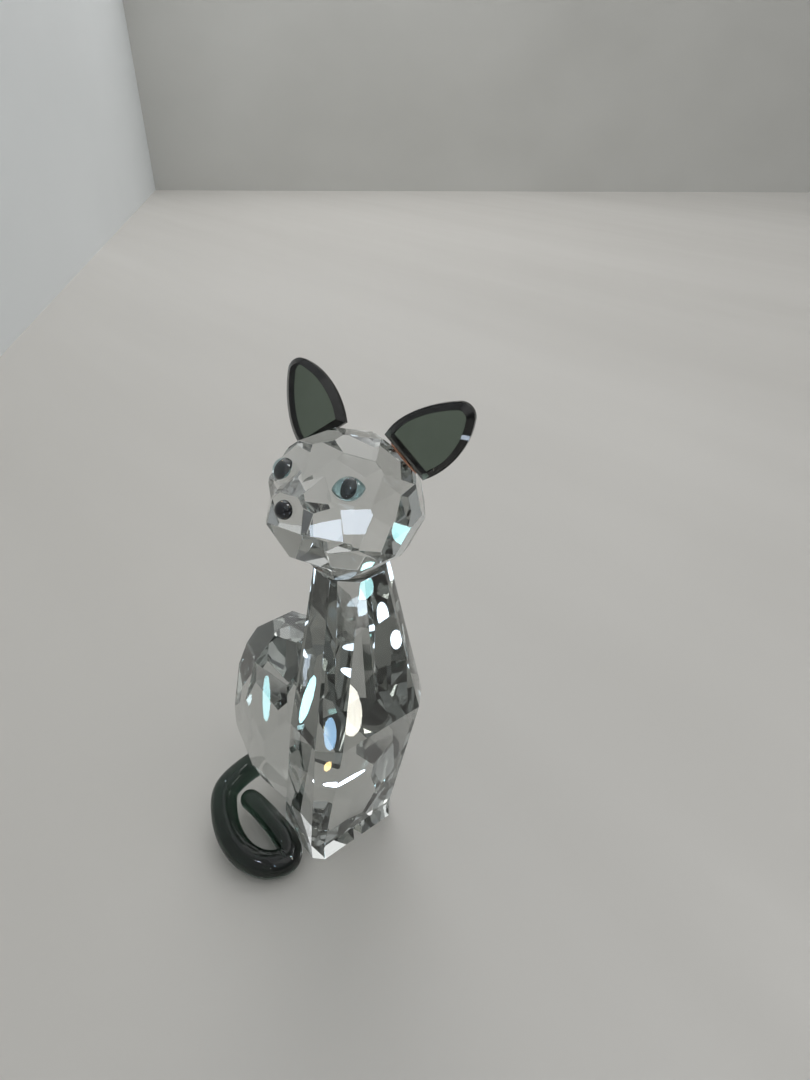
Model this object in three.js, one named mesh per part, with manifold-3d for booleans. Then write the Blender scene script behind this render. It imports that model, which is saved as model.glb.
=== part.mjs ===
// Sitting cat figurine in cut crystal: a smoky faceted body and head, with pressed green-black
// glass ears, a lampworked glass tail, small glass eyes and a black glass nose, all glued together
// with clear adhesive. Millimetres, +Z up. The cat's chest faces -Y, its left side is +X, and the
// origin is on the table under the middle of the body.
import * as THREE from 'three';
import { mergeVertices } from 'three/addons/utils/BufferGeometryUtils.js';
import Module from 'manifold-3d';

const wasm = await Module();
wasm.setup();
const RAD = Math.PI / 180;

// ---- glue joints -------------------------------------------------------------------------------
const GLUE_GAP = 0.3;           // distance between two glued faces
const GLUE_THICKNESS = 0.2;     // film of adhesive in that gap
const GLUE_CLEARANCE = (GLUE_GAP - GLUE_THICKNESS) / 2;

// ---- front of the body: neck, chest and forelegs -----------------------------------------------
const NECK_TOP_HEIGHT = 54.4;   // flat cut that the head is glued to
const NECK_TOP_RADIUS = 4.05;   // inradius of that octagonal cut
const NECK_AXIS_Y = -12.3;
const GIRDLE_HEIGHT = 31;       // widest line of the chest
const CHEST_FRONT_RADIUS = 5.2;
const CHEST_CORNER_RADIUS = 8.0;
const CHEST_SIDE_RADIUS = 8.6;
const NECK_BACK_RADIUS = 8.2;
const PAW_HEIGHT = 3.2;         // upright faces round the feet
const PAW_FRONT_Y = -10.2;
const PAW_HALF_WIDTH = 7.6;
const PAW_CORNER_RADIUS = 2.9;  // corner facet of the feet, measured from the neck's axis
const LEG_BACK_Y = 2;           // the forelegs run back into the haunches to here
const PAW_LENGTH = 7;           // from the toes back under the legs
const PAW_NOTCH_WIDTH = 1.5;
const PAW_NOTCH_DEPTH = 2.6;
const PAW_NOTCH_HEIGHT = 5;

// ---- back of the body: haunches ----------------------------------------------------------------
const HAUNCH_TOP_HEIGHT = 34.4;
const HAUNCH_CENTRE_HEIGHT = 17;
const HAUNCH_CENTRE_Y = 3.4;
const HAUNCH_HALF_WIDTH = 9.4;
const HAUNCH_HALF_LENGTH = 10.6;
const HAUNCH_CROWN_DEPTH = 0.5; // how far the flat on top is ground below the rounded crown
const LOW_HAUNCH_SHARE = 0.82;  // half width of the haunch beside the tail, as a share of the widest

// ---- head --------------------------------------------------------------------------------------
const SKULL_RADIUS = 7.85;      // distance from the skull's middle to most of its facets
const NECK_SEAT_INSET = 0.55;   // how far the flat glued to the neck lies inside that distance
const SKULL_SEAT_DEPTH = SKULL_RADIUS - NECK_SEAT_INSET;
const HEAD_TURN = -70;          // degrees about the neck, towards the cat's right shoulder
const HEAD_LIFT = 18;           // degrees that the face looks up
const EYE_FACET_AZIMUTH = 31;
const EYE_FACET_ELEVATION = 34;
const EYE_FACET_PROUD = 0.2;
const EYE_FACET_DISTANCE = SKULL_RADIUS + EYE_FACET_PROUD;
const MUZZLE_LENGTH = 10.8;     // from the middle of the skull to the flat that carries the nose
const MUZZLE_HALF_WIDTH = 2.6;
const MUZZLE_TOP = 2.4;
const MUZZLE_CHIN = 4.3;
const MUZZLE_FLARE = 22;        // degrees that its sides open towards the skull
const NOSE_FACET_ELEVATION = 4;
const MUZZLE_ROOT = 1.5;        // the muzzle is cut out of the same stone as the skull

// ---- ears --------------------------------------------------------------------------------------
const EAR_SEAT_ELEVATION = 50;
const EAR_SEAT_INSET = 0.1;     // how deep its seat is ground into the skull
const EAR_SEAT_DISTANCE = SKULL_RADIUS - EAR_SEAT_INSET;
const EAR_SET_BACK = 1.5;       // behind the middle of the skull
const EAR_TWIST_LEFT = 12;      // degrees that its face turns outwards
const EAR_TWIST_RIGHT = -6;
const EAR_WIDTH = 6.5;
const EAR_LENGTH = 9.1;
const EAR_THICKNESS = 2.0;
const EAR_BEVEL = 0.7;
const EAR_LEAN = 0.7;           // sideways offset of the tip
const EAR_BELLY = 0.9;          // how far the outer edge swells past the foot
const EAR_TIP_RADIUS = 1.2;
const EAR_TIP_START = 27 * RAD; // where the tip's arc begins

// ---- eyes and nose -----------------------------------------------------------------------------
const EYE_WIDTH = 3.3;
const EYE_HEIGHT = 2.5;
const EYE_DOME = 1.0;
const EYE_POINTEDNESS = 0.25;
const EYE_OFFSET_ACROSS = 0;    // from the middle of the eye facet, away from the nose
const EYE_OFFSET_UP = -1.5;
const EYE_TILT = 12;            // degrees that the outer corner is lifted
const EYE_ROOM = 0.1;           // least space between an eye's rim and the muzzle
const PUPIL_WIDTH = 1.3;
const PUPIL_HEIGHT = 1.9;
const PUPIL_TILT = -28;         // degrees that the slit leans against the eye
const PUPIL_DOME = 0.6;
const PUPIL_CLEARANCE = 0.08;
const NOSE_WIDTH = 1.9;
const NOSE_HEIGHT = 1.9;
const NOSE_DOME = 1.0;
const NOSE_UP = 0.9;            // above the middle line of the muzzle

const DOME_STEPS = 5;           // facets from the foot to the top of a dome
const DOME_SIDES = 20;

// ---- tail --------------------------------------------------------------------------------------
const TAIL_ROOT_DIAMETER = 4.1;
const TAIL_TIP_DIAMETER = 3.3;
const TAIL_SEAT_AZIMUTH = -112;
const TAIL_SEAT_ELEVATION = -20;
const TAIL_SEAT_DEPTH = 0.5;    // how deep its flat seat is ground into the haunch
const TAIL_START = 1.7;         // straight stretch that leaves the seat squarely
const TAIL_THINNING = 0.55;     // share of its length after which the rod thins towards the tip
const TAIL_CLEARANCE = 0.35;    // between the returning arm and the crystal
const TAIL_LOOP_WIDTH = 6.6;    // between the middle lines of the two arms
const TAIL_FRONT_Y = -7.6;      // middle line at the front of the loop
// The route after the straight start: which arm, how far inside that arm's line, the share of the
// way from the root to the front of the loop, and the share of the way down to the table.
const TAIL_ROUTE = [
  ['outer', 3.0, 0.03, 0.26],
  ['outer', 1.2, 0.20, 0.45],
  ['outer', 0.1, 0.45, 0.66],
  ['outer', 0.3, 0.69, 0.86],
  ['outer', 1.7, 0.88, 0.98],
  ['outer', 3.7, 0.99, 1],
  ['inner', 0.9, 1.01, 1],
  ['inner', 0, 0.90, 0.97],
  ['inner', 0, 0.68, 0.84],
  ['inner', 0.4, 0.45, 0.70],
  ['inner', 1.0, 0.27, 0.56],
  ['inner', 1.9, 0.15, 0.46],
];
const TAIL_RINGS = 44;          // rings of the rod's mesh from root to tip
const TAIL_SIDES = 14;
const TAIL_FRAMES = 400;        // steps in which the path's direction is followed

// ---- facet cutting -----------------------------------------------------------------------------
const BIG = 200;                // larger than the whole figurine

// Unit direction: azimuth from -Y towards +X, elevation upwards, both in degrees.
function direction(azimuth, elevation) {
  const flat = Math.cos(elevation * RAD);
  return new THREE.Vector3(
    flat * Math.sin(azimuth * RAD),
    -flat * Math.cos(azimuth * RAD),
    Math.sin(elevation * RAD),
  );
}

function toSolid(geometry) {
  const plain = geometry.clone();
  plain.deleteAttribute('normal');
  plain.deleteAttribute('uv');
  const merged = mergeVertices(plain, 1e-5);
  return new wasm.Manifold(new wasm.Mesh({
    numProp: 3,
    vertProperties: merged.attributes.position.array,
    triVerts: Uint32Array.from(merged.index.array),
  }));
}

function toGeometry(solid) {
  const mesh = solid.getMesh();
  const geometry = new THREE.BufferGeometry();
  const vertices = Float32Array.from(mesh.vertProperties);
  geometry.setAttribute('position', new THREE.BufferAttribute(vertices, 3));
  geometry.setIndex(new THREE.BufferAttribute(Uint32Array.from(mesh.triVerts), 1));
  return geometry;
}

function block() {
  return toSolid(new THREE.BoxGeometry(BIG, BIG, BIG));
}

// Everything beyond a facet: its normal points out of the stone and point lies on it.
function beyond(normal, point) {
  const waste = new THREE.BoxGeometry(BIG * 2, BIG * 2, BIG);
  waste.translate(0, 0, BIG / 2);
  waste.applyQuaternion(new THREE.Quaternion().setFromUnitVectors(new THREE.Vector3(0, 0, 1), normal));
  waste.translate(point.x, point.y, point.z);
  return toSolid(waste);
}

// Grinds a block down to its facets, each given as { normal, point }.
function grind(facets) {
  return facets.reduce((stone, facet) => stone.subtract(beyond(facet.normal, facet.point)), block());
}

function facetAt(azimuth, elevation, distance) {
  const normal = direction(azimuth, elevation);
  return { normal, point: normal.clone().multiplyScalar(distance) };
}

// The same facet on the left and on the right, or one facet when it lies on the middle line.
function mirrored(azimuth, elevation, distance) {
  const sides = azimuth % 180 === 0 ? [1] : [1, -1];
  return sides.map((side) => facetAt(side * azimuth, elevation, distance));
}

// ---- body --------------------------------------------------------------------------------------
// A lengthwise facet of the front, seen from the side: it passes through two points given as
// distance from the neck's axis and height.
function lengthwiseFacet(azimuth, lower, upper) {
  const tilt = Math.atan2(lower.radius - upper.radius, upper.height - lower.height) / RAD;
  const point = direction(azimuth, 0).multiplyScalar(lower.radius);
  point.add(new THREE.Vector3(0, NECK_AXIS_Y, lower.height));
  return { normal: direction(azimuth, tilt), point };
}

const CHEST_FACETS = [
  { azimuth: 0, girdle: CHEST_FRONT_RADIUS, ankle: NECK_AXIS_Y - PAW_FRONT_Y },
  { azimuth: 45, girdle: CHEST_CORNER_RADIUS, ankle: PAW_CORNER_RADIUS },
  { azimuth: -45, girdle: CHEST_CORNER_RADIUS, ankle: PAW_CORNER_RADIUS },
  { azimuth: 90, girdle: CHEST_SIDE_RADIUS, ankle: PAW_HALF_WIDTH },
  { azimuth: -90, girdle: CHEST_SIDE_RADIUS, ankle: PAW_HALF_WIDTH },
];
const NECK_BACK_AZIMUTHS = [135, 180, -135];
const UP = new THREE.Vector3(0, 0, 1);
const DOWN = new THREE.Vector3(0, 0, -1);
const BACK = new THREE.Vector3(0, 1, 0);

function frontOfBody() {
  const facets = [
    { normal: UP, point: new THREE.Vector3(0, 0, NECK_TOP_HEIGHT) },
    { normal: DOWN, point: new THREE.Vector3(0, 0, 0) },
    { normal: BACK, point: new THREE.Vector3(0, LEG_BACK_Y, 0) },
  ];
  const top = { radius: NECK_TOP_RADIUS, height: NECK_TOP_HEIGHT };
  for (const { azimuth, girdle, ankle } of CHEST_FACETS) {
    const widest = { radius: girdle, height: GIRDLE_HEIGHT };
    facets.push(lengthwiseFacet(azimuth, widest, top));
    facets.push(lengthwiseFacet(azimuth, { radius: ankle, height: PAW_HEIGHT }, widest));
  }
  for (const azimuth of NECK_BACK_AZIMUTHS) {
    facets.push(lengthwiseFacet(azimuth, { radius: NECK_BACK_RADIUS, height: GIRDLE_HEIGHT }, top));
  }
  return grind(facets);
}

// Low block under the legs, with upright faces that carry the legs' facets down to the table.
function paws() {
  const facets = CHEST_FACETS.map(({ azimuth, ankle }) => {
    const upright = { radius: ankle, height: 0 };
    return lengthwiseFacet(azimuth, upright, { radius: ankle, height: PAW_HEIGHT });
  });
  facets.push({ normal: UP, point: new THREE.Vector3(0, 0, PAW_HEIGHT) });
  facets.push({ normal: DOWN, point: new THREE.Vector3(0, 0, 0) });
  facets.push({ normal: BACK, point: new THREE.Vector3(0, PAW_FRONT_Y + PAW_LENGTH, 0) });
  return grind(facets);
}

// Facets that touch a rounded form: rings of [elevation, how many, azimuth of the first].
const HAUNCH_RINGS = [
  [62, 6, 0],
  [34, 8, 22.5],
  [6, 8, 0],
  [-24, 8, 22.5],
  [-46, 8, 0],
];

function haunchSize() {
  return new THREE.Vector3(
    HAUNCH_HALF_WIDTH,
    HAUNCH_HALF_LENGTH,
    HAUNCH_TOP_HEIGHT + HAUNCH_CROWN_DEPTH - HAUNCH_CENTRE_HEIGHT,
  );
}

function haunchCentre() {
  return new THREE.Vector3(0, HAUNCH_CENTRE_Y, HAUNCH_CENTRE_HEIGHT);
}

// Facet that touches the haunch's rounded form where its normal has this direction, then is ground
// in by a depth.
function haunchFlat(azimuth, elevation, depth) {
  const normal = direction(azimuth, elevation);
  const size = haunchSize();
  const stretched = normal.clone().multiply(size);
  const point = stretched.clone().multiply(size).divideScalar(stretched.length());
  point.add(haunchCentre()).addScaledVector(normal, -depth);
  return { normal, point };
}

function haunches() {
  const size = haunchSize();
  const facets = [
    { normal: UP, point: new THREE.Vector3(0, 0, HAUNCH_TOP_HEIGHT) },
    { normal: DOWN, point: new THREE.Vector3(0, 0, 0) },
  ];
  for (const [elevation, count, first] of HAUNCH_RINGS) {
    for (let i = 0; i < count; i += 1) {
      const unit = direction(first + (360 * i) / count, elevation);
      const point = unit.clone().multiply(size).add(haunchCentre());
      const normal = unit.divide(size).normalize();
      facets.push({ normal, point });
    }
  }
  return grind(facets);
}

const tailSeat = haunchFlat(TAIL_SEAT_AZIMUTH, TAIL_SEAT_ELEVATION, TAIL_SEAT_DEPTH);

function pawNotch() {
  const outline = new THREE.Shape();
  outline.moveTo(-PAW_NOTCH_WIDTH / 2, 0);
  outline.lineTo(PAW_NOTCH_WIDTH / 2, 0);
  outline.lineTo(0, PAW_NOTCH_DEPTH);
  outline.closePath();
  const wedge = new THREE.ExtrudeGeometry(outline, { depth: PAW_NOTCH_HEIGHT + 1, bevelEnabled: false });
  wedge.translate(0, PAW_FRONT_Y - 0.01, -1);
  return toSolid(wedge);
}

function bodyGeometry() {
  let body = frontOfBody().add(paws()).subtract(pawNotch()).add(haunches());
  body = body.subtract(beyond(tailSeat.normal, tailSeat.point));
  return toGeometry(body);
}

// ---- head --------------------------------------------------------------------------------------
// The head is cut in its own frame: the face looks to -Y and the middle of the skull is its origin.
const headFrame = new THREE.Group();
headFrame.rotation.set(-HEAD_LIFT * RAD, 0, HEAD_TURN * RAD, 'ZYX');
headFrame.position.set(0, NECK_AXIS_Y, NECK_TOP_HEIGHT + GLUE_GAP + SKULL_SEAT_DEPTH);
headFrame.updateMatrixWorld();
const downInHead = new THREE.Vector3(0, 0, -1).applyQuaternion(headFrame.quaternion.clone().invert());
// The flat that is glued to the neck, ground across the skull and, if it hangs that low, the chin.
const neckFlat = { normal: downInHead, point: downInHead.clone().multiplyScalar(SKULL_SEAT_DEPTH) };

function skull() {
  const facets = [
    ...mirrored(EYE_FACET_AZIMUTH, EYE_FACET_ELEVATION, EYE_FACET_DISTANCE),
    ...mirrored(90, EAR_SEAT_ELEVATION, EAR_SEAT_DISTANCE),
    facetAt(0, 50, SKULL_RADIUS + 0.35),
    facetAt(0, 90, SKULL_RADIUS - 0.2),
    ...mirrored(42, 68, SKULL_RADIUS),
    ...mirrored(138, 60, SKULL_RADIUS - 0.1),
    facetAt(180, 50, SKULL_RADIUS),
    ...mirrored(76, 16, SKULL_RADIUS),
    ...mirrored(114, 20, SKULL_RADIUS + 0.1),
    ...mirrored(152, 14, SKULL_RADIUS),
    ...mirrored(30, -10, SKULL_RADIUS),
    ...mirrored(66, -16, SKULL_RADIUS - 0.2),
    ...mirrored(100, -20, SKULL_RADIUS - 0.1),
    ...mirrored(136, -16, SKULL_RADIUS - 0.1),
    facetAt(180, -18, SKULL_RADIUS - 0.1),
    facetAt(0, -46, SKULL_RADIUS - 0.5),
    ...mirrored(44, -46, SKULL_RADIUS - 0.5),
    ...mirrored(88, -50, SKULL_RADIUS - 0.3),
    ...mirrored(132, -48, SKULL_RADIUS - 0.3),
    facetAt(180, -52, SKULL_RADIUS - 0.2),
    neckFlat,
  ];
  return grind(facets);
}

// Where an eye sits: flat on its facet, with +X away from the nose before the eye is tilted.
function eyeSeat() {
  const facet = facetAt(EYE_FACET_AZIMUTH, EYE_FACET_ELEVATION, EYE_FACET_DISTANCE);
  const seat = seatOn(facet, direction(EYE_FACET_AZIMUTH + 90, 0));
  seat.translateX(EYE_OFFSET_ACROSS);
  seat.translateY(EYE_OFFSET_UP);
  seat.rotateZ(EYE_TILT * RAD);
  return seat;
}

// Space above the left eye's place that the muzzle has to leave clear.
function eyeRoom() {
  const room = new THREE.CylinderGeometry(0.5, 0.5, BIG, DOME_SIDES);
  room.rotateX(90 * RAD);
  room.scale(EYE_WIDTH + 2 * EYE_ROOM, EYE_HEIGHT + 2 * EYE_ROOM, 1);
  room.translate(0, 0, BIG / 2);
  const seat = eyeSeat();
  seat.updateMatrix();
  room.applyMatrix4(seat.matrix);
  return toSolid(room);
}

// A muzzle facet leans by its elevation and passes through the point given as the distance to the
// cat's left, forwards and up from the middle of the skull.
function muzzleFacet(azimuth, elevation, left, forward, up) {
  return { normal: direction(azimuth, elevation), point: new THREE.Vector3(left, -forward, up) };
}

function noseFacet() {
  return muzzleFacet(0, NOSE_FACET_ELEVATION, 0, MUZZLE_LENGTH, 0);
}

function muzzle() {
  const facets = [
    noseFacet(),
    muzzleFacet(0, 62, 0, MUZZLE_LENGTH - 0.3, MUZZLE_TOP),
    muzzleFacet(0, -30, 0, MUZZLE_LENGTH, -1.1),
    muzzleFacet(0, -68, 0, MUZZLE_LENGTH - 1.6, -MUZZLE_CHIN),
    { normal: new THREE.Vector3(0, 1, 0), point: new THREE.Vector3(0, -MUZZLE_ROOT, 0) },
  ];
  for (const side of [1, -1]) {
    const half = side * MUZZLE_HALF_WIDTH;
    facets.push(muzzleFacet(side * (90 - MUZZLE_FLARE), 0, half, MUZZLE_LENGTH - 0.6, 0));
    facets.push(muzzleFacet(side * 42, 6, side * 2.1, MUZZLE_LENGTH - 0.1, 0));
    facets.push(muzzleFacet(side * 58, 40, side * 1.5, MUZZLE_LENGTH - 0.6, MUZZLE_TOP - 0.2));
    facets.push(muzzleFacet(side * 58, -38, half * 0.8, MUZZLE_LENGTH - 1, -2));
  }
  return grind(facets);
}

function headGeometry() {
  const room = eyeRoom();
  const front = muzzle().subtract(room).subtract(room.mirror([1, 0, 0]));
  return toGeometry(skull().add(front.subtract(beyond(neckFlat.normal, neckFlat.point))));
}

// ---- pressed and lampworked glass --------------------------------------------------------------
// Pointed leaf outline, wide at its straight foot, with a rounded tip.
function earOutline(inset) {
  const half = EAR_WIDTH / 2 - inset;
  const foot = inset;
  const tipRadius = EAR_TIP_RADIUS - inset / 2;
  const tipHeight = EAR_LENGTH - inset - tipRadius;
  const shape = new THREE.Shape();
  shape.moveTo(-half, foot);
  shape.lineTo(half, foot);
  shape.bezierCurveTo(half + EAR_BELLY, EAR_LENGTH * 0.38, half * 0.8 + EAR_LEAN, EAR_LENGTH * 0.7,
    EAR_LEAN + tipRadius * Math.cos(EAR_TIP_START), tipHeight + tipRadius * Math.sin(EAR_TIP_START));
  shape.absarc(EAR_LEAN, tipHeight, tipRadius, EAR_TIP_START, Math.PI - EAR_TIP_START, false);
  shape.bezierCurveTo(-half * 0.8 + EAR_LEAN, EAR_LENGTH * 0.7, -half - EAR_BELLY / 2, EAR_LENGTH * 0.34,
    -half, foot);
  return shape;
}

// The ear stands on its foot along +Z and faces -Y.
function earGeometry() {
  const leaf = new THREE.ExtrudeGeometry(earOutline(EAR_BEVEL), {
    depth: EAR_THICKNESS - 2 * EAR_BEVEL,
    bevelEnabled: true,
    bevelThickness: EAR_BEVEL,
    bevelSize: EAR_BEVEL,
    bevelSegments: 2,
    curveSegments: 8,
  });
  leaf.translate(0, 0, EAR_BEVEL - EAR_THICKNESS / 2);
  leaf.rotateX(90 * RAD);
  return leaf;
}

// Flat-backed dome that rises along +Z from an oval foot. A pointedness above 0 draws its two ends
// out to points.
function dome(width, height, rise, pointedness) {
  const profile = [new THREE.Vector2(0, 0)];
  for (let step = 0; step < DOME_STEPS; step += 1) {
    const angle = (90 * step * RAD) / DOME_STEPS;
    profile.push(new THREE.Vector2(Math.cos(angle), Math.sin(angle)));
  }
  profile.push(new THREE.Vector2(0, 1));
  const geometry = new THREE.LatheGeometry(profile, DOME_SIDES);
  geometry.rotateX(90 * RAD);
  const place = geometry.attributes.position;
  for (let i = 0; i < place.count; i += 1) {
    const x = place.getX(i);
    const narrowing = Math.max(0, 1 - x * x) ** pointedness;
    place.setXYZ(i, x * width / 2, place.getY(i) * narrowing * height / 2, place.getZ(i) * rise);
  }
  return geometry;
}

// Oval film of adhesive that lies on the plane z = 0 and is GLUE_THICKNESS thick.
function glueFilm(width, height) {
  const geometry = new THREE.CylinderGeometry(0.5, 0.5, GLUE_THICKNESS, DOME_SIDES);
  geometry.rotateX(90 * RAD);
  geometry.scale(width, height, 1);
  geometry.translate(0, 0, GLUE_CLEARANCE + GLUE_THICKNESS / 2);
  return geometry;
}

// ---- tail --------------------------------------------------------------------------------------
// The rod leaves its seat, sweeps out and forwards, lies on the table at the front of the loop and
// comes back along the haunch, where its tip ends free.
function tailPath() {
  const lying = TAIL_ROOT_DIAMETER / 2;
  const root = tailSeat.point.clone().addScaledVector(tailSeat.normal, GLUE_GAP);
  const flank = Math.max(PAW_HALF_WIDTH, LOW_HAUNCH_SHARE * HAUNCH_HALF_WIDTH);
  const innerLine = -(flank + TAIL_CLEARANCE + (TAIL_ROOT_DIAMETER + TAIL_TIP_DIAMETER) / 4);
  const outerLine = innerLine - TAIL_LOOP_WIDTH;
  const points = [root, root.clone().addScaledVector(tailSeat.normal, TAIL_START)];
  for (const [arm, inside, forwards, down] of TAIL_ROUTE) {
    points.push(new THREE.Vector3(
      arm === 'outer' ? outerLine + inside : innerLine - inside,
      THREE.MathUtils.lerp(root.y, TAIL_FRONT_Y, forwards),
      THREE.MathUtils.lerp(root.z, lying, down),
    ));
  }
  return new THREE.CatmullRomCurve3(points, false, 'centripetal');
}

// Straight tapered rod along +Z with a flat root and a rounded tip, then bent along the path.
function tailGeometry() {
  const path = tailPath();
  const length = path.getLength();
  const tipRadius = TAIL_TIP_DIAMETER / 2;
  const rootRadius = TAIL_ROOT_DIAMETER / 2;
  const straight = length - tipRadius;
  const profile = [new THREE.Vector2(0, 0)];
  for (let i = 0; i <= TAIL_RINGS; i += 1) {
    const along = i / TAIL_RINGS;
    const thinned = THREE.MathUtils.smoothstep(along, TAIL_THINNING, 1);
    const radius = THREE.MathUtils.lerp(rootRadius, tipRadius, thinned);
    profile.push(new THREE.Vector2(radius, straight * along));
  }
  for (let angle = 22.5; angle < 90; angle += 22.5) {
    const rim = tipRadius * Math.cos(angle * RAD);
    profile.push(new THREE.Vector2(rim, straight + tipRadius * Math.sin(angle * RAD)));
  }
  profile.push(new THREE.Vector2(0, length));
  const rod = new THREE.LatheGeometry(profile, TAIL_SIDES);
  rod.rotateX(90 * RAD);
  const frames = path.computeFrenetFrames(TAIL_FRAMES, false);
  const place = rod.attributes.position;
  for (let i = 0; i < place.count; i += 1) {
    const along = THREE.MathUtils.clamp(place.getZ(i) / length, 0, 1);
    const frame = Math.round(along * TAIL_FRAMES);
    const bent = path.getPointAt(along);
    bent.addScaledVector(frames.normals[frame], place.getX(i));
    bent.addScaledVector(frames.binormals[frame], place.getY(i));
    place.setXYZ(i, bent.x, bent.y, bent.z);
  }
  return rod;
}

// ---- materials ---------------------------------------------------------------------------------
function glass(color, roughness) {
  return () => new THREE.MeshStandardMaterial({ color, roughness, metalness: 0 });
}

const smokyCrystal = glass(0x8d9390, 0.02);
const darkGreenGlass = glass(0x1d2a22, 0.05);
const eyeGlass = glass(0x9fb6b4, 0.05);
const blackGlass = glass(0x0b0d10, 0.08);
const clearAdhesive = glass(0xd8d6cc, 0.15);

// ---- assembly ----------------------------------------------------------------------------------
function piece(name, geometry, material) {
  const mesh = new THREE.Mesh(geometry, material);
  mesh.name = name;
  return mesh;
}

// Frame that stands on a facet: its origin is a point of the facet and +Z points out of the stone.
function seatOn(facet, across = new THREE.Vector3(1, 0, 0)) {
  const seat = new THREE.Group();
  const up = facet.normal.clone().cross(across).normalize();
  const right = up.clone().cross(facet.normal);
  seat.quaternion.setFromRotationMatrix(new THREE.Matrix4().makeBasis(right, up, facet.normal));
  seat.position.copy(facet.point);
  return seat;
}

function gluedOn(seat, glued, film) {
  glued.forEach((mesh) => mesh.translateZ(GLUE_GAP));
  seat.add(...glued, film);
}

// The left ear on its seat. The right seat is mirrored, but both leaves come out of one mould, so
// the right leaf is turned round.
function ear(name, twist) {
  const facet = facetAt(90, EAR_SEAT_ELEVATION, EAR_SEAT_DISTANCE);
  facet.point.y += EAR_SET_BACK;
  const seat = new THREE.Group();
  seat.rotation.y = (90 - EAR_SEAT_ELEVATION) * RAD;
  seat.rotateZ(twist * RAD);
  seat.position.copy(facet.point);
  const leaf = earGeometry();
  if (name === 'right') leaf.rotateZ(180 * RAD);
  const film = glueFilm(EAR_WIDTH - 2 * EAR_BEVEL - 1, EAR_THICKNESS - 2 * EAR_BEVEL);
  gluedOn(seat, [piece(`ear_${name}`, leaf, darkGreenGlass())],
    piece(`ear_glue_${name}`, film, clearAdhesive()));
  return seat;
}

// The left eye: a clear dome with a black slit set in its flat back.
function eye(name) {
  const seat = eyeSeat();
  const slit = dome(PUPIL_WIDTH, PUPIL_HEIGHT, PUPIL_DOME, 0);
  const slot = dome(PUPIL_WIDTH + 2 * PUPIL_CLEARANCE, PUPIL_HEIGHT + 2 * PUPIL_CLEARANCE,
    PUPIL_DOME + 2 * PUPIL_CLEARANCE, 0);
  slot.translate(0, 0, -PUPIL_CLEARANCE);
  slit.rotateZ(PUPIL_TILT * RAD);
  slot.rotateZ(PUPIL_TILT * RAD);
  const cabochon = toSolid(dome(EYE_WIDTH, EYE_HEIGHT, EYE_DOME, EYE_POINTEDNESS)).subtract(toSolid(slot));
  gluedOn(seat, [
    piece(`eye_${name}`, toGeometry(cabochon), eyeGlass()),
    piece(`pupil_${name}`, slit, blackGlass()),
  ], piece(`eye_glue_${name}`, glueFilm(EYE_WIDTH - 1, EYE_HEIGHT - 0.8), clearAdhesive()));
  return seat;
}

const figurine = new THREE.Group();
figurine.add(piece('body_crystal', bodyGeometry(), smokyCrystal()));

const neckSeat = new THREE.Group();
neckSeat.position.set(0, NECK_AXIS_Y, NECK_TOP_HEIGHT);
const neckFilm = 2 * NECK_TOP_RADIUS - 0.8;
neckSeat.add(piece('neck_glue', glueFilm(neckFilm, neckFilm), clearAdhesive()));
figurine.add(neckSeat);

figurine.add(headFrame);
headFrame.add(piece('head_crystal', headGeometry(), smokyCrystal()));
for (const [side, name, twist] of [[1, 'left', EAR_TWIST_LEFT], [-1, 'right', EAR_TWIST_RIGHT]]) {
  const half = new THREE.Group();
  half.scale.x = side;
  half.add(ear(name, twist), eye(name));
  headFrame.add(half);
}

const noseSeat = seatOn(noseFacet());
noseSeat.translateY(NOSE_UP);
gluedOn(noseSeat, [piece('nose', dome(NOSE_WIDTH, NOSE_HEIGHT, NOSE_DOME, 0), blackGlass())],
  piece('nose_glue', glueFilm(NOSE_WIDTH - 0.8, NOSE_HEIGHT - 0.7), clearAdhesive()));
headFrame.add(noseSeat);

figurine.add(piece('tail', tailGeometry(), darkGreenGlass()));
const tailFoot = seatOn(tailSeat);
const tailFilm = TAIL_ROOT_DIAMETER - 0.9;
tailFoot.add(piece('tail_glue', glueFilm(tailFilm, tailFilm), clearAdhesive()));
figurine.add(tailFoot);

export default figurine;
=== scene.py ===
# Sitting cat figurine in smoky cut crystal: body and head ground in flat facets, dark green glass
# ears and tail, glass eyes and a black glass nose, all held by films of clear adhesive.
import math
import bmesh
import bpy
from mathutils import Matrix, Vector
from mathutils.bvhtree import BVHTree


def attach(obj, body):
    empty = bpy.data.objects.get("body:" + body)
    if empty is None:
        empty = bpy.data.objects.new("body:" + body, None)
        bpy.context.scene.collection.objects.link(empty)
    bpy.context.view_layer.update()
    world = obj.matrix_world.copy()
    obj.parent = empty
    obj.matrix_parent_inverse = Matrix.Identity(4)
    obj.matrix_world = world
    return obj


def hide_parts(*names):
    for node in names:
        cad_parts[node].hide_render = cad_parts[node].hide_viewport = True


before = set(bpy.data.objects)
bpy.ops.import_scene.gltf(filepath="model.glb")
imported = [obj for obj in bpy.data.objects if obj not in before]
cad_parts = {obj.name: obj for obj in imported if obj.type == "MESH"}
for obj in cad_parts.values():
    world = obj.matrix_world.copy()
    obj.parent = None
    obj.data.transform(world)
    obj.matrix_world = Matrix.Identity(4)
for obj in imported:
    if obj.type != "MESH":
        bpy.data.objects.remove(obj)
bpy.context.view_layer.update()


# ---- body --------------------------------------------------------------------------------------
# Haunches, chest and forelegs, ground out of one block of smoky crystal on a wheel and polished
# flat. The polishing leaves a hair of rounding on every edge and a faint ripple.
MM = 0.001
EDGE_ROUNDING = 0.07 * MM
WELD_DISTANCE = 0.002 * MM
SAME_FACET_ANGLE = math.radians(0.6)
ARRIS_ANGLE = math.radians(3)


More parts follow.
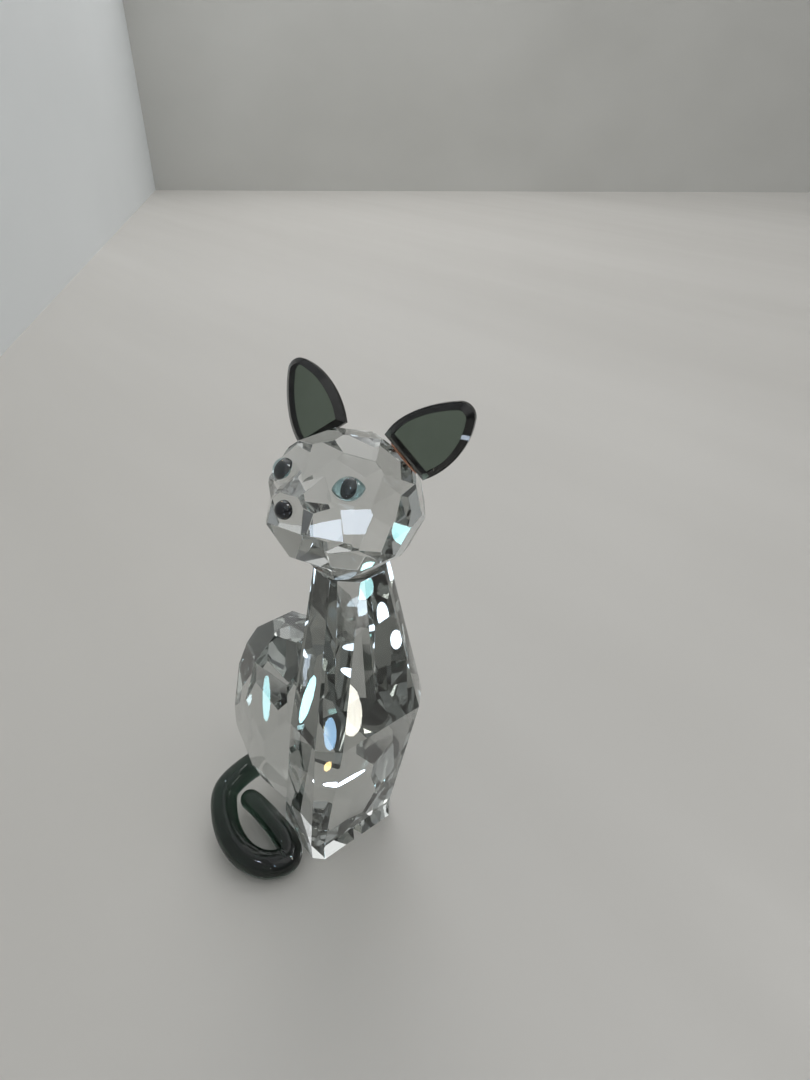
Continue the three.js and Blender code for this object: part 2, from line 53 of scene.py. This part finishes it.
def own_mesh(name, shape):
    """The shape as a new object of its own."""
    mesh = bpy.data.meshes.new(name)
    shape.to_mesh(mesh)
    shape.free()
    piece = bpy.data.objects.new(name, mesh)
    bpy.context.scene.collection.objects.link(piece)
    return piece


def whole_facets(node):
    """The node's shape with its triangles joined into whole flat facets."""
    shape = bmesh.new()
    shape.from_mesh(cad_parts[node].data)
    bmesh.ops.remove_doubles(shape, verts=shape.verts, dist=WELD_DISTANCE)
    bmesh.ops.dissolve_limit(
        shape, angle_limit=SAME_FACET_ANGLE, verts=shape.verts, edges=shape.edges)
    return shape


def cut_stone(name, node):
    """The node's facets with every arris between them just rounded off."""
    shape = whole_facets(node)
    arrises = [edge for edge in shape.edges if edge.calc_face_angle(0) > ARRIS_ANGLE]
    bmesh.ops.bevel(
        shape, geom=arrises, offset=EDGE_ROUNDING, offset_type="OFFSET", segments=2,
        profile=0.5, affect="EDGES", clamp_overlap=True)
    bmesh.ops.recalc_face_normals(shape, faces=shape.faces)
    return own_mesh(name, shape)


class Mixer:
    """A new material whose nodes are added and joined one line at a time."""

    def __init__(self, name):
        self.material = bpy.data.materials.new(name)
        self.material.use_nodes = True
        self.tree = self.material.node_tree
        self.shader = self.tree.nodes["Principled BSDF"]
        self.output = self.tree.nodes["Material Output"]
        self.place = self.add("ShaderNodeTexCoord").outputs["Object"]

    def add(self, kind, **inputs):
        """A new node with the given values on its inputs, as in from_min for From Min."""
        node = self.tree.nodes.new(kind)
        for key, value in inputs.items():
            node.inputs[key.replace("_", " ").title()].default_value = value
        return node

    def join(self, source, target):
        self.tree.links.new(source, target)

    def cloud(self, scale, detail=2.0, stretch=(1, 1, 1), distortion=0.0):
        """Soft noise through the piece, with its grains 1 / scale metres across."""
        mapping = self.add("ShaderNodeMapping")
        mapping.inputs["Scale"].default_value = stretch
        self.join(self.place, mapping.inputs["Vector"])
        noise = self.add(
            "ShaderNodeTexNoise", scale=scale, detail=detail, distortion=distortion)
        self.join(mapping.outputs["Vector"], noise.inputs["Vector"])
        return noise.outputs["Fac"]

    def spread(self, source, low, high, from_low=0.3, from_high=0.7):
        """The source stretched from its own range to run from low to high."""
        stretch = self.add(
            "ShaderNodeMapRange", from_min=from_low, from_max=from_high, to_min=low, to_max=high)
        self.join(source, stretch.inputs["Value"])
        return stretch.outputs["Result"]

    def blend_colours(self, source, stops):
        """Colours laid along the source, each stop a place from 0 to 1 and a colour."""
        ramp = self.add("ShaderNodeValToRGB")
        ramp.color_ramp.elements[0].position = stops[0][0]
        ramp.color_ramp.elements[0].color = (*stops[0][1], 1)
        ramp.color_ramp.elements[1].position = stops[-1][0]
        ramp.color_ramp.elements[1].color = (*stops[-1][1], 1)
        for position, colour in stops[1:-1]:
            ramp.color_ramp.elements.new(position).color = (*colour, 1)
        self.join(source, ramp.inputs["Fac"])
        return ramp.outputs["Color"]

    def ripple(self, height, depth):
        """A shallow unevenness of the surface, depth metres from trough to crest."""
        bump = self.add("ShaderNodeBump", strength=1.0, distance=depth)
        self.join(height, bump.inputs["Height"])
        self.join(bump.outputs["Normal"], self.shader.inputs["Normal"])


def clear_glass(name, ior, passes, density, streaks_and_painted_shade, smears, ripple_depth):
    """Glass that darkens with its depth: passes is the colour it lets through."""
    mix = Mixer(name)
    mix.shader.inputs["Transmission Weight"].default_value = 1.0
    mix.shader.inputs["IOR"].default_value = ior
    streak = mix.cloud(300, detail=3, stretch=(1, 1, 0.35), distortion=0.4)
    # These base colours are streaks in the glass; on the ground bevel they are dark painted
    # shade.
    mix.join(mix.blend_colours(streak, streaks_and_painted_shade), mix.shader.inputs["Base Color"])
    smear = mix.cloud(900, detail=5, stretch=(1, 0.4, 1))
    mix.join(mix.spread(smear, smears[0], smears[1], 0.45, 0.75), mix.shader.inputs["Roughness"])
    mix.ripple(mix.cloud(420, detail=1), ripple_depth)
    depth = mix.add("ShaderNodeVolumeAbsorption")
    depth.inputs["Color"].default_value = (*passes, 1)
    depth.inputs["Density"].default_value = density
    mix.join(depth.outputs["Volume"], mix.output.inputs["Volume"])
    return mix.material


smoky_crystal = clear_glass(
    "smoky crystal", ior=1.55, passes=(0.465, 0.49, 0.47), density=35,
    streaks_and_painted_shade=[(0.3, (0.95, 0.96, 0.95)), (0.7, (1.0, 1.0, 1.0))],
    smears=(0.0, 0.004), ripple_depth=0.0008 * MM)

body = cut_stone("body_stone", "body_crystal")
body.data.materials.append(smoky_crystal)
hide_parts("body_crystal")
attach(body, "root")


# ---- head --------------------------------------------------------------------------------------
# Skull and muzzle, cut out of a second block of the same crystal and glued on the neck with the
# face turned to the cat's right and slightly up.
HEAD_MIDDLE = Vector((0, -12.3, 62.0)) * MM
HEAD_TURN = math.radians(-70)
HEAD_LIFT = math.radians(18)

head = cut_stone("head_stone", "head_crystal")
head.data.materials.append(smoky_crystal)
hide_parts("head_crystal")
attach(head, "root")

# Places in the head are given with the face looking to -Y and the skull's middle at the origin.
head_place = (
    Matrix.Translation(HEAD_MIDDLE)
    @ Matrix.Rotation(HEAD_TURN, 4, "Z")
    @ Matrix.Rotation(-HEAD_LIFT, 4, "X")
)


def direction(azimuth, elevation):
    """Unit vector: azimuth from -Y towards +X and elevation upwards, in degrees."""
    azimuth, elevation = math.radians(azimuth), math.radians(elevation)
    flat = math.cos(elevation)
    return Vector((flat * math.sin(azimuth), -flat * math.cos(azimuth), math.sin(elevation)))


def seat_on(normal, point, across):
    """Place of something that stands on a facet, with its own +Z out of the stone."""
    up = normal.cross(across).normalized()
    right = up.cross(normal)
    turn = Matrix((right, up, normal)).transposed().to_4x4()
    return Matrix.Translation(point) @ turn


def on_side(side, place):
    """The same place on the left, side 1, or mirrored to the right, side -1."""
    return head_place @ Matrix.Scale(side, 4, (1, 0, 0)) @ place


# ---- ears --------------------------------------------------------------------------------------
# Two leaves of dark green glass out of one mould, with a broad ground bevel all round, glued by
# their straight feet to flats on the skull.
GLUE_GAP = 0.3 * MM
EAR_SEAT_ELEVATION = 50
EAR_SEAT_DISTANCE = 7.75 * MM
EAR_SET_BACK = 1.5 * MM
EAR_TWISTS = {"left": 12, "right": -6}
EAR_WIDTH = 6.5 * MM
EAR_LENGTH = 9.1 * MM
EAR_THICKNESS = 2.0 * MM
EAR_BEVEL = 0.7 * MM
EAR_LEAN = 0.7 * MM
EAR_BELLY = 0.9 * MM
EAR_TIP_RADIUS = 1.2 * MM
EAR_TIP_START = math.radians(27)
EAR_SEGMENTS = 28
EAR_EDGE_ROUNDING = 0.05 * MM
EAR_RIM_SHARE = 0.3
EAR_SHARP_ANGLE = 25
BLUNTED_ANGLE = math.radians(20)
BEVEL_SLOPE = 0.93


def bezier(a, b, c, d, count):
    """Points on the curve from a to d that b and c pull on, without a itself."""
    for i in range(1, count + 1):
        t = i / count
        s = 1 - t
        yield a * s ** 3 + b * 3 * s * s * t + c * 3 * s * t * t + d * t ** 3


def ear_outline():
    """The leaf's flat face, inside its bevel, from the foot round the tip and back."""
    half = EAR_WIDTH / 2 - EAR_BEVEL
    foot = EAR_BEVEL
    tip_radius = EAR_TIP_RADIUS - EAR_BEVEL / 2
    tip_height = EAR_LENGTH - EAR_BEVEL - tip_radius
    reach, rise = tip_radius * math.cos(EAR_TIP_START), tip_radius * math.sin(EAR_TIP_START)
    shoulder = EAR_LENGTH * 0.7
    points = [Vector((-half, foot)), Vector((half, foot))]
    points.extend(bezier(
        points[-1], Vector((half + EAR_BELLY, EAR_LENGTH * 0.38)),
        Vector((half * 0.8 + EAR_LEAN, shoulder)),
        Vector((EAR_LEAN + reach, tip_height + rise)), EAR_SEGMENTS))
    sweep = math.pi - 2 * EAR_TIP_START
    for i in range(1, EAR_SEGMENTS // 2 + 1):
        angle = EAR_TIP_START + sweep * i / (EAR_SEGMENTS // 2)
        points.append(Vector((
            EAR_LEAN + tip_radius * math.cos(angle), tip_height + tip_radius * math.sin(angle))))
    points.extend(list(bezier(
        points[-1], Vector((-half * 0.8 + EAR_LEAN, shoulder)),
        Vector((-half - EAR_BELLY / 2, EAR_LENGTH * 0.34)), points[0], EAR_SEGMENTS))[:-1])
    return points


def widened(outline, amount):
    """The outline moved outwards by amount, with its corners kept sharp."""
    moved = []
    for i, point in enumerate(outline):
        before = (point - outline[i - 1]).normalized()
        after = (outline[(i + 1) % len(outline)] - point).normalized()
        out_before = Vector((before.y, -before.x))
        out_after = Vector((after.y, -after.x))
        middle = (out_before + out_after).normalized()
        moved.append(point + middle * amount / max(middle.dot(out_after), 0.3))
    return moved


def rings_to_piece(name, rings, place, sharp_angle, rounding=0.0):
    """Closed solid through rings of points, each end shut by a flat face."""
    shape = bmesh.new()
    rows = [[shape.verts.new(point) for point in ring] for ring in rings]
    count = len(rows[0])
    for lower, upper in zip(rows, rows[1:]):
        for i in range(count):
            j = (i + 1) % count
            shape.faces.new((lower[i], lower[j], upper[j], upper[i]))
    shape.faces.new(rows[0][::-1])
    shape.faces.new(rows[-1])
    if rounding:
        arrises = [edge for edge in shape.edges if edge.calc_face_angle(0) > BLUNTED_ANGLE]
        bmesh.ops.bevel(
            shape, geom=arrises, offset=rounding, segments=2, profile=0.5, affect="EDGES",
            clamp_overlap=True)
    shape.transform(place)
    bmesh.ops.recalc_face_normals(shape, faces=shape.faces)
    piece = own_mesh(name, shape)
    piece.data.shade_smooth()
    piece.data.set_sharp_from_angle(angle=math.radians(sharp_angle))
    return piece


# The flats of the leaves are clear, and their bevels are left as they come from the wheel: a
# little rough. The bevels' darker colour is painted shade.
dark_green_glass = clear_glass(
    "dark green glass", ior=1.52, passes=(0.29, 0.37, 0.3), density=1350,
    streaks_and_painted_shade=[(0.3, (0.86, 0.9, 0.86)), (0.7, (0.98, 1.0, 0.98))],
    smears=(0.0, 0.02), ripple_depth=0.0016 * MM)
# Rough like a ground bevel, with painted shade in its dark base colours.
ground_bevel_painted_shade = clear_glass(
    "ground bevel of dark green glass with painted shade", ior=1.52, passes=(0.29, 0.37, 0.3), density=1350,
    streaks_and_painted_shade=[(0.3, (0.14, 0.17, 0.17)), (0.7, (0.3, 0.34, 0.33))],
    smears=(0.02, 0.09), ripple_depth=0.004 * MM)

# Across the leaf from back to front: how far outside the flat face, and how far from the middle
# as a share of half the thickness.
ear_profile = [(0, -1), (EAR_BEVEL, -EAR_RIM_SHARE), (EAR_BEVEL, EAR_RIM_SHARE), (0, 1)]
for side, name in ((1, "left"), (-1, "right")):
    facet = direction(90, EAR_SEAT_ELEVATION)
    seat = (
        Matrix.Translation(facet * EAR_SEAT_DISTANCE + Vector((0, EAR_SET_BACK, 0)))
        @ Matrix.Rotation(math.radians(90 - EAR_SEAT_ELEVATION), 4, "Y")
        @ Matrix.Rotation(math.radians(EAR_TWISTS[name]), 4, "Z")
        @ Matrix.Translation((0, 0, GLUE_GAP))
        @ Matrix.Scale(side, 4, (1, 0, 0))
    )
    outline = ear_outline()
    leaf = [
        [Vector((p.x, depth * EAR_THICKNESS / 2, p.y)) for p in widened(outline, out)]
        for out, depth in ear_profile
    ]
    place = on_side(side, seat)
    ear = rings_to_piece(f"{name}_ear_leaf", leaf, place, EAR_SHARP_ANGLE, EAR_EDGE_ROUNDING)
    ear.data.materials.append(dark_green_glass)
    ear.data.materials.append(ground_bevel_painted_shade)
    flat_way = (place.to_3x3() @ Vector((0, 1, 0))).normalized()
    # Faces that slope away from the flats get the bevel material with its painted shade.
    for face in ear.data.polygons:
        face.material_index = int(abs(face.normal.dot(flat_way)) < BEVEL_SLOPE)
    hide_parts(f"ear_{name}")
    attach(ear, "root")


# ---- eyes --------------------------------------------------------------------------------------
# Pointed oval domes of pale glass, glued to two facets of the face, with a pearly blue-green
# lacquer on their flat backs and an upright black slit fused into each.
EYE_FACET_AZIMUTH = 31
EYE_FACET_ELEVATION = 34
EYE_FACET_DISTANCE = 8.05 * MM
EYE_OFFSET_UP = -1.5 * MM
EYE_TILT = math.radians(12)
EYE_WIDTH = 3.3 * MM
EYE_HEIGHT = 2.5 * MM
EYE_DOME = 1.0 * MM
EYE_POINTEDNESS = 0.25
PUPIL_WIDTH = 1.3 * MM
PUPIL_HEIGHT = 1.9 * MM
PUPIL_DOME = 0.35 * MM
PUPIL_TILT = math.radians(-28)
LACQUER_THICKNESS = 0.03 * MM
LACQUER_SCALE = 0.97
DOME_STEEPEST = math.radians(89)
DOME_SHARP_ANGLE = 50


def dome_rings(width, height, rise, pointedness=0.0, lift=0.0, sides=56, steps=14):
    """Rings of an oval dome with a flat foot; pointedness draws its two ends out."""
    rings = []
    for step in range(steps):
        angle = DOME_STEEPEST * step / (steps - 1)
        ring = []
        for i in range(sides):
            turn = 2 * math.pi * i / sides
            x, y = math.cos(angle) * math.cos(turn), math.cos(angle) * math.sin(turn)
            y *= max(0.0, 1 - x * x) ** pointedness
            ring.append(Vector((x * width / 2, y * height / 2, lift + rise * math.sin(angle))))
        rings.append(ring)
    return rings


eye_glass = clear_glass(
    "pale eye glass", ior=1.52, passes=(0.36, 0.62, 0.64), density=320,
    streaks_and_painted_shade=[(0.3, (0.9, 0.95, 0.95)), (0.7, (1.0, 1.0, 1.0))],
    smears=(0.0, 0.01), ripple_depth=0.0008 * MM)


def pearly_lacquer():
    mix = Mixer("pearly blue-green lacquer")
    streak = mix.cloud(2600, detail=4, stretch=(1, 1, 0.3), distortion=0.8)
    mix.join(
        mix.blend_colours(streak, [
            (0.25, (0.3, 0.4, 0.39)), (0.5, (0.5, 0.61, 0.59)), (0.75, (0.74, 0.82, 0.8))]),
        mix.shader.inputs["Base Color"])
    mix.shader.inputs["Metallic"].default_value = 0.35
    mix.join(mix.spread(mix.cloud(5000), 0.25, 0.45), mix.shader.inputs["Roughness"])
    mix.ripple(mix.cloud(6000, detail=3), 0.004 * MM)
    return mix.material


def black_glass_finish():
    mix = Mixer("black glass")
    mix.join(
        mix.blend_colours(mix.cloud(1500, detail=4), [
            (0.3, (0.004, 0.004, 0.006)), (0.7, (0.016, 0.018, 0.022))]),
        mix.shader.inputs["Base Color"])
    mix.shader.inputs["IOR"].default_value = 1.52
    mix.join(
        mix.spread(mix.cloud(1800, detail=5), 0.03, 0.11, 0.4, 0.8),
        mix.shader.inputs["Roughness"])
    mix.ripple(mix.cloud(900, detail=2), 0.002 * MM)
    return mix.material


eye_lacquer = pearly_lacquer()
black_glass = black_glass_finish()

for side, name in ((1, "left"), (-1, "right")):
    facet = direction(EYE_FACET_AZIMUTH, EYE_FACET_ELEVATION)
    seat = (
        seat_on(facet, facet * EYE_FACET_DISTANCE, direction(EYE_FACET_AZIMUTH + 90, 0))
        @ Matrix.Translation((0, EYE_OFFSET_UP, GLUE_GAP))
        @ Matrix.Rotation(EYE_TILT, 4, "Z")
    )
    place = on_side(side, seat)
    clear = rings_to_piece(
        f"{name}_eye_dome",
        dome_rings(EYE_WIDTH, EYE_HEIGHT, EYE_DOME, EYE_POINTEDNESS, LACQUER_THICKNESS),
        place, DOME_SHARP_ANGLE)
    clear.data.materials.append(eye_glass)
    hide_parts(f"eye_{name}")
    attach(clear, "root")

    slit = rings_to_piece(
        f"{name}_pupil_slit",
        dome_rings(PUPIL_WIDTH, PUPIL_HEIGHT, PUPIL_DOME, 0.0, 2 * LACQUER_THICKNESS, 40, 10),
        place @ Matrix.Rotation(PUPIL_TILT, 4, "Z"), DOME_SHARP_ANGLE)
    slit.data.materials.append(black_glass)
    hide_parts(f"pupil_{name}")
    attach(slit, "root")

    rim = dome_rings(EYE_WIDTH, EYE_HEIGHT, 0, EYE_POINTEDNESS)[0]
    disc = [
        [Vector((p.x * LACQUER_SCALE, p.y * LACQUER_SCALE, height)) for p in rim]
        for height in (0, LACQUER_THICKNESS * 0.8)
    ]
    lacquer = rings_to_piece(f"{name}_eye_lacquer", disc, place, DOME_SHARP_ANGLE)
    lacquer.data.materials.append(eye_lacquer)
    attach(lacquer, "root")


# ---- nose --------------------------------------------------------------------------------------
# A small black glass button glued to the flat at the front of the muzzle.
MUZZLE_LENGTH = 10.8 * MM
NOSE_FACET_ELEVATION = 4
NOSE_UP = 0.9 * MM
NOSE_WIDTH = 1.9 * MM
NOSE_HEIGHT = 1.9 * MM
NOSE_DOME = 1.0 * MM

nose_place = (
    head_place
    @ seat_on(
        direction(0, NOSE_FACET_ELEVATION), Vector((0, -MUZZLE_LENGTH, 0)), Vector((1, 0, 0)))
    @ Matrix.Translation((0, NOSE_UP, GLUE_GAP))
)
nose = rings_to_piece(
    "nose_button", dome_rings(NOSE_WIDTH, NOSE_HEIGHT, NOSE_DOME), nose_place,
    DOME_SHARP_ANGLE)
nose.data.materials.append(black_glass)
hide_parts("nose")
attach(nose, "root")


# ---- tail --------------------------------------------------------------------------------------
# A rod of the same dark green glass, bent over a flame into a loop and fire-polished. It is glued
# to a flat on the right haunch and lies on the table.
TAIL_SWELL = 0.055 * MM
ROD_END_ANGLE = math.radians(60)
ROD_END_CREASE = 0.9
ROD_SHARP_ANGLE = 50


def smoothed(name, node, levels, swell):
    """The node's shape with its coarse sides rounded, and swelled back to its full thickness."""
    shape = whole_facets(node)
    creased = shape.edges.layers.float.new("crease_edge")
    for edge in shape.edges:
        if edge.calc_face_angle(0) > ROD_END_ANGLE:
            edge[creased] = ROD_END_CREASE
    piece = own_mesh(name, shape)
    rounding = piece.modifiers.new("rounding", "SUBSURF")
    rounding.levels = rounding.render_levels = levels
    fill = piece.modifiers.new("fill", "DISPLACE")
    fill.mid_level = 0
    fill.strength = swell
    with_modifiers = piece.evaluated_get(bpy.context.evaluated_depsgraph_get())
    finished = bpy.data.meshes.new_from_object(with_modifiers)
    piece.modifiers.clear()
    piece.data = finished
    piece.data.shade_smooth()
    piece.data.set_sharp_from_angle(angle=math.radians(ROD_SHARP_ANGLE))
    return piece


# The rod is thicker than the ears, so its glass holds less colour and looks just as dark.
green_rod_glass = clear_glass(
    "green rod glass", ior=1.52, passes=(0.2, 0.35, 0.28), density=1150,
    streaks_and_painted_shade=[(0.3, (0.8, 0.9, 0.84)), (0.7, (0.96, 1.0, 0.97))],
    smears=(0.0, 0.03), ripple_depth=0.003 * MM)

tail = smoothed("tail_rod", "tail", 2, TAIL_SWELL)
tail.data.materials.clear()
tail.data.materials.append(green_rod_glass)
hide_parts("tail")
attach(tail, "root")


# ---- adhesive ----------------------------------------------------------------------------------
# Clear adhesive between every pair of glued faces, cured hard, with fine bubbles in it. Under the
# ears it was laid on thicker and has yellowed to amber.
def cured_adhesive(name, cloudy, clear):
    mix = Mixer(name)
    mix.join(
        mix.blend_colours(mix.cloud(2500, detail=4), [(0.3, cloudy), (0.7, clear)]),
        mix.shader.inputs["Base Color"])
    mix.shader.inputs["Transmission Weight"].default_value = 1.0
    mix.shader.inputs["IOR"].default_value = 1.5
    mix.join(mix.spread(mix.cloud(4000, detail=3), 0.04, 0.22), mix.shader.inputs["Roughness"])
    mix.ripple(mix.cloud(5000, detail=2), 0.004 * MM)
    return mix.material


clear_adhesive = cured_adhesive("clear adhesive", (0.82, 0.78, 0.68), (0.97, 0.96, 0.93))
amber_adhesive = cured_adhesive("amber adhesive", (0.5, 0.2, 0.12), (0.74, 0.4, 0.26))
for node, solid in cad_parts.items():
    if "glue" in node:
        solid.data.materials.clear()
        solid.data.materials.append(amber_adhesive if "ear" in node else clear_adhesive)


# ---- table, walls, light and camera ------------------------------------------------------------
# A plain pale table top in the corner of two plain walls, lit by soft panels. The table is a hair
# below the foot of the crystal, so that the two surfaces don't lie in one plane.
TABLE_GAP = 0.05 * MM
TABLE_SIZE = 3.0
WALL_HEIGHT = 1.2
ROOM_STRENGTH = 0.78
CAMERA_PLACE = Vector((-36.7, -67.4, 100.0)) * MM
CAMERA_TURN = math.radians(-39)
CAMERA_DIP = math.radians(33)
SENSOR_HEIGHT = 36
LENS = 23.33


def plain_surface(name, colours, roughness):
    mix = Mixer(name)
    mix.join(
        mix.blend_colours(mix.cloud(9, detail=3, stretch=(1, 0.15, 1)), [
            (0.3, colours[0]), (0.7, colours[1])]),
        mix.shader.inputs["Base Color"])
    mix.join(
        mix.spread(mix.cloud(60, detail=4, stretch=(1, 0.1, 1)), *roughness),
        mix.shader.inputs["Roughness"])
    return mix.material


def flat_sheet(name, corners, material):
    shape = bmesh.new()
    shape.faces.new([shape.verts.new(corner) for corner in corners])
    sheet = own_mesh(name, shape)
    sheet.data.materials.append(material)


corner = Vector((0.3, 0.8, -TABLE_GAP))
along_back = Vector((0.76, -0.65, 0)) * TABLE_SIZE
along_side = Vector((-0.48, -0.877, 0)) * TABLE_SIZE
rise = Vector((0, 0, WALL_HEIGHT))
flat_sheet(
    "table_top",
    [corner, corner + along_side, corner + along_side + along_back, corner + along_back],
    plain_surface("pale table", ((0.63, 0.608, 0.57), (0.7, 0.678, 0.64)), (0.45, 0.6)))
flat_sheet(
    "back_wall", [corner, corner + along_back, corner + along_back + rise, corner + rise],
    plain_surface("grey wall", ((0.62, 0.615, 0.585), (0.68, 0.675, 0.645)), (0.6, 0.7)))
# The side wall is given a paler, bluer colour than the back wall: painted window light.
flat_sheet(
    "side_wall_painted_light", [corner, corner + rise, corner + along_side + rise, corner + along_side],
    plain_surface("wall with painted window light", ((0.86, 0.89, 0.9), (0.9, 0.93, 0.94)), (0.6, 0.7)))

# The room is dim round the horizon and bright overhead, so the facets show light and dark.
world = bpy.data.worlds.new("soft room")
bpy.context.scene.world = world
world.use_nodes = True
sky = world.node_tree
look = sky.nodes.new("ShaderNodeTexCoord")
split = sky.nodes.new("ShaderNodeSeparateXYZ")
sky.links.new(look.outputs["Generated"], split.inputs["Vector"])
shades = sky.nodes.new("ShaderNodeValToRGB")
steps = shades.color_ramp.elements
steps[0].position, steps[0].color = 0.0, (0.13, 0.13, 0.135, 1)
steps[1].position, steps[1].color = 0.9, (0.86, 0.88, 0.9, 1)
steps.new(0.3).color = (0.3, 0.31, 0.32, 1)
steps.new(0.6).color = (0.66, 0.68, 0.7, 1)
sky.links.new(split.outputs["Z"], shades.inputs["Fac"])
sky.links.new(shades.outputs["Color"], sky.nodes["Background"].inputs["Color"])
sky.nodes["Background"].inputs["Strength"].default_value = ROOM_STRENGTH


def panel(name, place, aim, size, power, colour, outline="RECTANGLE"):
    """A flat light that faces its aim and stays out of the picture itself."""
    light = bpy.data.lights.new(name, "AREA")
    light.shape = outline
    light.size, light.size_y = size
    light.energy = power
    light.color = colour
    lamp = bpy.data.objects.new(name, light)
    lamp.location = place
    lamp.rotation_euler = (aim - place).to_track_quat("-Z", "Y").to_euler()
    lamp.visible_camera = False
    bpy.context.scene.collection.objects.link(lamp)
    return lamp


middle = Vector((0, -5, 35)) * MM
ahead = Vector((math.sin(-CAMERA_TURN), math.cos(-CAMERA_TURN), 0))
aside = Vector((ahead.y, -ahead.x, 0))
panel("window", middle - aside * 0.12 + ahead * 0.6 + Vector((0, 0, 0.48)), middle,
      (0.8, 0.7), 2.3, (0.99, 0.99, 1.0))
panel("room", middle + aside * 0.5 - ahead * 0.2 + Vector((0, 0, 0.7)), middle,
      (0.8, 0.8), 0.6, (1.0, 0.96, 0.9))
gleam = panel("gleam", middle + Vector((0.5, -0.13, 0.61)), middle, (0.2, 0.2), 1.5,
              (1.0, 0.99, 0.97))
gleam.visible_diffuse = False

CARD_BRIGHTNESS = 10


def mirrored_card(name, stone, point, distance, size, outline, tint):
    """A bright card that the viewer sees mirrored in the stone's facet at the given point."""
    corners = [vertex.co for vertex in stone.data.vertices]
    facets = BVHTree.FromPolygons(corners, [list(face.vertices) for face in stone.data.polygons])
    on_facet, normal, _, _ = facets.find_nearest(point)
    bounce = (on_facet - CAMERA_PLACE).normalized().reflect(normal)
    power = CARD_BRIGHTNESS * math.pi * size[0] * size[1]
    card = panel(name, on_facet + bounce * distance, on_facet, size, power, tint, outline)
    card.visible_diffuse = False


# Small bright cards close round the cat: the stone, a point on the facet that mirrors the card,
# the card's distance and size, all in millimetres, then its outline and tint.
CARDS = [
    (head, (-5.7, -18.2, 63.4), 45, (8, 4), "RECTANGLE", (0.72, 0.84, 1.0)),
    (head, (-3.0, -19.7, 64.3), 45, (10, 4), "RECTANGLE", (0.72, 0.84, 1.0)),
    (head, (1.4, -20.3, 61.8), 40, (4, 4.6), "ELLIPSE", (0.5, 0.98, 1.0)),
    (head, (-5.3, -18.3, 60.8), 40, (5, 2), "ELLIPSE", (0.7, 0.84, 1.0)),
    (body, (-7.3, -12.3, 37.0), 25, (1.5, 7.5), "ELLIPSE", (0.5, 0.94, 1.0)),
    (body, (-4.7, -17.1, 37.4), 25, (4, 8), "ELLIPSE", (1.0, 0.97, 0.86)),
    (body, (-6.8, -16.0, 33.7), 25, (2, 5), "ELLIPSE", (0.4, 0.68, 1.0)),
    (body, (-9.0, 2.9, 25.1), 25, (0.8, 3), "ELLIPSE", (0.7, 0.94, 1.0)),
    (body, (-7.0, -15.8, 30.8), 25, (2.6, 1.6), "ELLIPSE", (1.0, 0.72, 0.3)),
]
for i, (stone, point, distance, size, outline, tint) in enumerate(CARDS):
    mirrored_card(
        f"card_{i + 1}", stone, Vector(point) * MM, distance * MM, (size[0] * MM, size[1] * MM),
        outline, tint)

# Small lamps all round, as in a jeweller's window, that make the facets sparkle.
LAMP_COUNT = 14
LAMP_DISTANCE = 0.42
LAMP_SIZE = (0.012, 0.03)
LAMP_POWER = 0.05
LAMP_FIRST_BEARING = 11
LAMP_ELEVATIONS = (22, 48, 34, 66)
LAMP_TINTS = [(1.0, 1.0, 1.0), (0.55, 0.85, 1.0), (1.0, 0.86, 0.6), (0.7, 0.75, 1.0)]
for i in range(LAMP_COUNT):
    way = direction(360 * i / LAMP_COUNT + LAMP_FIRST_BEARING, LAMP_ELEVATIONS[i % 4])
    spark = panel(
        f"lamp_{i + 1}", middle + way * LAMP_DISTANCE, middle, LAMP_SIZE, LAMP_POWER,
        LAMP_TINTS[i % 4])
    spark.visible_diffuse = False

camera = bpy.data.cameras.new("camera")
camera.sensor_fit = "VERTICAL"
camera.sensor_height = SENSOR_HEIGHT
camera.lens = LENS
camera.clip_start = 0.001
viewer = bpy.data.objects.new("camera", camera)
viewer.location = CAMERA_PLACE
viewer.rotation_euler = (math.pi / 2 - CAMERA_DIP, 0, CAMERA_TURN)
bpy.context.scene.collection.objects.link(viewer)
bpy.context.scene.camera = viewer

scene = bpy.context.scene
scene.view_settings.view_transform = "Standard"
scene.cycles.max_bounces = 24
scene.cycles.transmission_bounces = 24
scene.cycles.glossy_bounces = 12
scene.cycles.sample_clamp_indirect = 2.5
